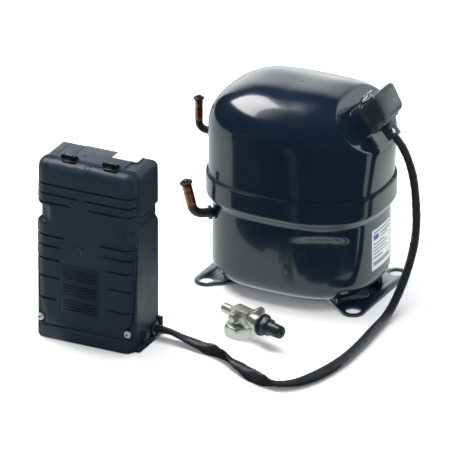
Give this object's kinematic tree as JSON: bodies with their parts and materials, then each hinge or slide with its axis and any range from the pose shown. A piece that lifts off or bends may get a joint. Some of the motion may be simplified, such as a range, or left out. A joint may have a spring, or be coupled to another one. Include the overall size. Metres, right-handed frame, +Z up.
{
  "type": "hermetic reciprocating compressor",
  "caption": "Welded-shell refrigeration compressor with a sprung scotch-yoke pump inside, a wired electrical box and a loose service valve.",
  "frame": {"origin": "centre of the four foot holes, on the underside of the foot rails, where they meet the mounting plane", "axes": "+Z up along the crankshaft, +X along the shell's long side towards the terminal cover, -Y towards the side where the electrical box and the valve stand"},
  "size_m": [0.3909, 0.4057, 0.2825],
  "materials": {
    "shell_paint": "gloss enamel, blue-black",
    "weld_bead": "painted weld bead",
    "foot_paint": "gloss enamel on pressed plate",
    "fence_paint": "gloss enamel",
    "pressed_steel": "oily pressed steel",
    "copper": "bare copper tube, darkened by heat",
    "plug_rubber": "moulded rubber",
    "label": "satin printed film",
    "bright_steel": "zinc plated",
    "terminal_glass": "fused glass bead",
    "brass": "machined",
    "black_plastic": "moulded",
    "cover_plastic": "satin moulded",
    "cord_sleeve": "soft vinyl sleeve",
    "cast_iron": "as cast",
    "cream_plastic": "moulded",
    "gasket": "fibre gasket",
    "machined_steel": "ground",
    "cast_aluminium": "die cast",
    "dark_bolts": "black oxide",
    "lamination": "stacked laminations",
    "winding_copper": "enamelled copper wire",
    "box_plastic": "fine-grained moulded plastic",
    "capacitor_can": "drawn can",
    "lead_red": "insulated wire",
    "zinc": "zinc plated, clear passivate",
    "zinc_nut": "zinc plated, yellow-green tint",
    "seal_white": "sealing ring",
    "cap_plastic": "moulded nylon"
  },
  "bodies": {
    "root": {"lower_shell": "shell_paint", "upper_shell": "shell_paint", "seam_weld": "weld_bead", "foot_rail_left": "foot_paint", "foot_rail_right": "foot_paint", "spring_seats": "pressed_steel", "suction_stub": "copper", "discharge_stub": "copper", "stub_collars": "weld_bead", "rating_plate": "label", "terminal_body": "bright_steel", "terminal_glass": "terminal_glass", "terminal_pins": "brass", "terminal_fence": "fence_paint", "terminal_block": "black_plastic", "overload_protector": "black_plastic", "cord_clamp": "cover_plastic", "clamp_screw": "bright_steel", "cord": "cord_sleeve", "box_back": "box_plastic", "hinge_pins": "bright_steel", "start_capacitor": "black_plastic", "run_capacitor": "capacitor_can", "start_relay": "black_plastic", "box_leads": "lead_red", "box_gland": "cover_plastic", "box_label": "label"},
    "suction_plug": {"suction_plug": "plug_rubber"},
    "discharge_plug": {"discharge_plug": "plug_rubber"},
    "terminal_cover": {"terminal_cover": "cover_plastic", "cover_clip": "bright_steel"},
    "pump_unit": {"crankcase": "cast_iron", "suction_muffler": "cream_plastic", "discharge_muffler": "pressed_steel", "discharge_loop": "copper", "cylinder_gasket": "gasket", "suction_reed": "bright_steel", "valve_plate": "machined_steel", "discharge_reed": "bright_steel", "cylinder_head": "cast_aluminium", "head_bolts": "dark_bolts", "stator": "lamination", "windings": "winding_copper", "stator_bolts": "dark_bolts", "suspension_springs": "bright_steel"},
    "crankshaft": {"crankshaft": "machined_steel", "rotor": "lamination", "oil_pickup": "pressed_steel"},
    "gallery_plug": {"gallery_plug": "brass"},
    "slide_block": {"slide_block": "brass"},
    "yoke_piston": {"yoke_piston": "machined_steel"},
    "box_cover": {"box_cover": "box_plastic", "cover_screws": "bright_steel"},
    "service_valve": {"valve_body": "zinc", "valve_seal": "seal_white", "valve_gland": "brass", "port_fittings": "zinc"},
    "union_nut": {"union_nut": "zinc_nut"},
    "valve_spindle": {"valve_spindle": "bright_steel"},
    "seal_cap": {"seal_cap": "cap_plastic"}
  },
  "joints": [
    {"name": "suspension", "type": "slide", "parent": "root", "child": "pump_unit", "axis": [0, 0, 1], "range_m": [-0.003, 0.003], "stiffness_N_per_m": 40000, "springref_m": 0.00279, "deforming": ["suspension_springs"]},
    {"name": "crank_spin", "type": "hinge", "parent": "pump_unit", "child": "crankshaft", "pos_m": [0, 0, 0.15], "axis": [0, 0, 1], "continuous": true},
    {"name": "plug_spin", "type": "hinge", "parent": "crankshaft", "child": "gallery_plug", "pos_m": [0, -0.005, 0.2], "axis": [0, 0, 1], "continuous": true},
    {"name": "yoke_turn", "type": "hinge", "parent": "gallery_plug", "child": "yoke_piston", "pos_m": [0, -0.01, 0.07], "axis": [0, 0, 1], "continuous": true},
    {"name": "block_turn", "type": "hinge", "parent": "crankshaft", "child": "slide_block", "pos_m": [0, -0.01, 0.07], "axis": [0, 0, 1], "continuous": true},
    {"name": "terminal_cover_pull", "type": "slide", "parent": "root", "child": "terminal_cover", "axis": [0.766, 0, 0.6428], "range_m": [0, 0.06]},
    {"name": "suction_plug_pull", "type": "slide", "parent": "root", "child": "suction_plug", "axis": [-0.1797, -0.1354, 0.9744], "range_m": [0, 0.03]},
    {"name": "discharge_plug_pull", "type": "slide", "parent": "root", "child": "discharge_plug", "axis": [0, 0, 1], "range_m": [0, 0.03]},
    {"name": "box_cover_swing", "type": "hinge", "parent": "root", "child": "box_cover", "pos_m": [-0.1545, -0.277, 0.2425], "axis": [-1, 0, 0], "range_deg": [0, 100]},
    {"name": "valve_lift", "type": "slide", "parent": "root", "child": "service_valve", "axis": [0, 0, 1], "range_m": [0, 0.1]},
    {"name": "union_nut_spin", "type": "hinge", "parent": "service_valve", "child": "union_nut", "pos_m": [0.004, -0.18, 0.008], "axis": [0, 0, 1], "continuous": true},
    {"name": "spindle_travel", "type": "slide", "parent": "service_valve", "child": "valve_spindle", "axis": [0.9397, -0.342, 0], "range_m": [-0.005, 0]},
    {"name": "seal_cap_pull", "type": "slide", "parent": "service_valve", "child": "seal_cap", "axis": [0.9397, -0.342, 0], "range_m": [0, 0.05]}
  ],
  "couplings": [
    {"joint": "plug_spin", "follows": "crank_spin", "ratio": -2},
    {"joint": "yoke_turn", "follows": "crank_spin", "ratio": 1},
    {"joint": "block_turn", "follows": "crank_spin", "ratio": -1}
  ]
}
